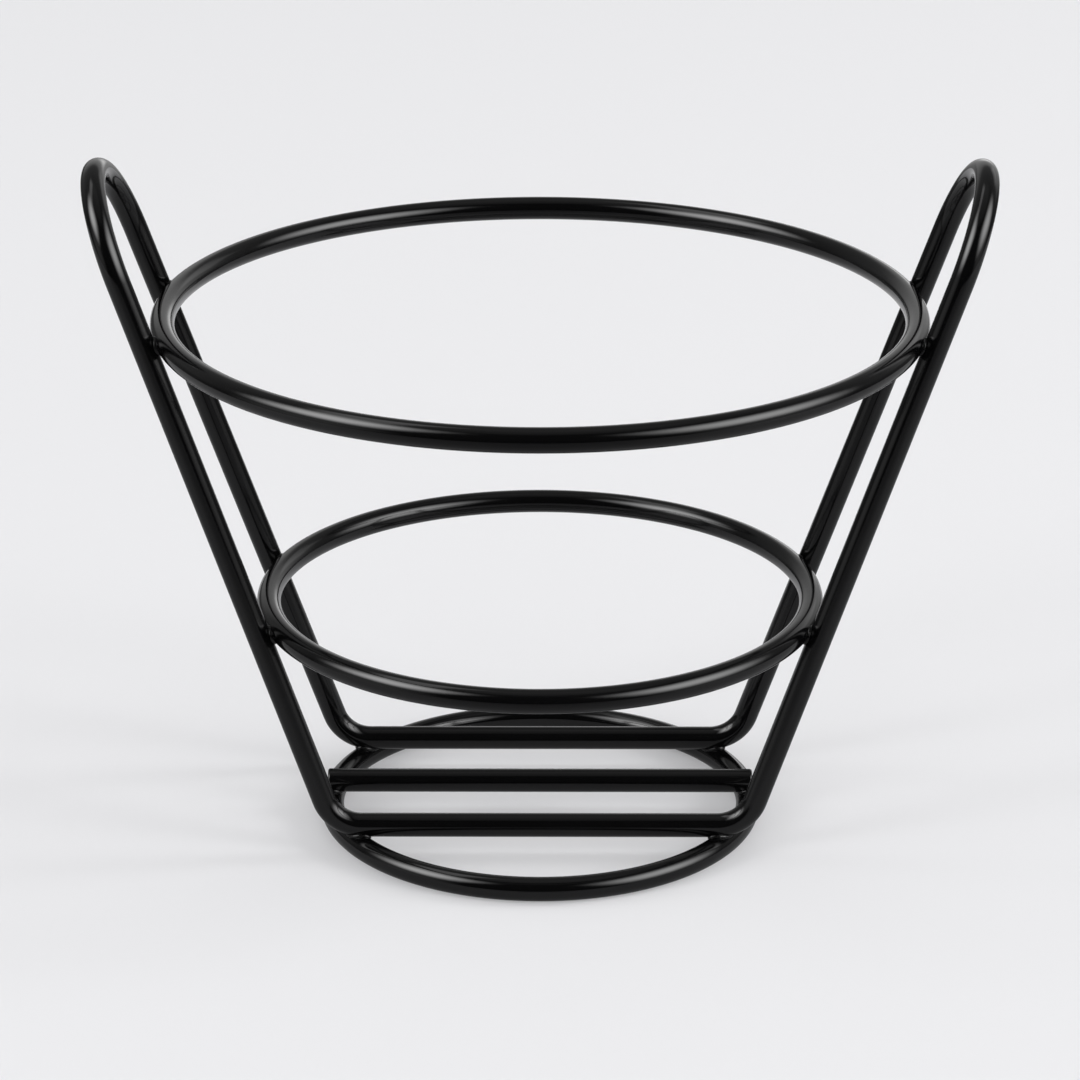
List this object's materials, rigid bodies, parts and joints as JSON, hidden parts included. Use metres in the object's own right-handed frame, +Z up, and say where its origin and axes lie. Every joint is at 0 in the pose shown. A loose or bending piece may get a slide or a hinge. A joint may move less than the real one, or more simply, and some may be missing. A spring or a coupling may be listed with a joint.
{
  "type": "wire basket",
  "caption": "Tapered open wire serving basket: round wire rings inside a looped wire frame whose ends rise as loop handles, standing on a foot ring.",
  "frame": {"origin": "centre of the foot ring, on the surface that the basket stands on", "axes": "+Z up; X runs from handle to handle, along the base bars; Y runs from the front base bar (-Y) to the back one (+Y)"},
  "size_m": [0.2222, 0.191, 0.1721],
  "materials": {
    "wire_coating": "gloss black powder coat",
    "weld_coating": "black powder coat over weld metal, a little rougher"
  },
  "bodies": {
    "root": {"top_ring": "wire_coating", "middle_ring": "wire_coating", "foot_ring": "wire_coating", "frame_wire": "wire_coating", "centre_bar": "wire_coating", "weld_top_ring_front_left": "weld_coating", "weld_top_ring_front_right": "weld_coating", "weld_top_ring_back_left": "weld_coating", "weld_top_ring_back_right": "weld_coating", "weld_middle_ring_front_left": "weld_coating", "weld_middle_ring_front_right": "weld_coating", "weld_middle_ring_back_left": "weld_coating", "weld_middle_ring_back_right": "weld_coating", "weld_foot_ring_front_left": "weld_coating", "weld_foot_ring_front_right": "weld_coating", "weld_foot_ring_back_left": "weld_coating", "weld_foot_ring_back_right": "weld_coating", "weld_centre_bar_left": "weld_coating", "weld_centre_bar_right": "weld_coating"}
  },
  "joints": []
}
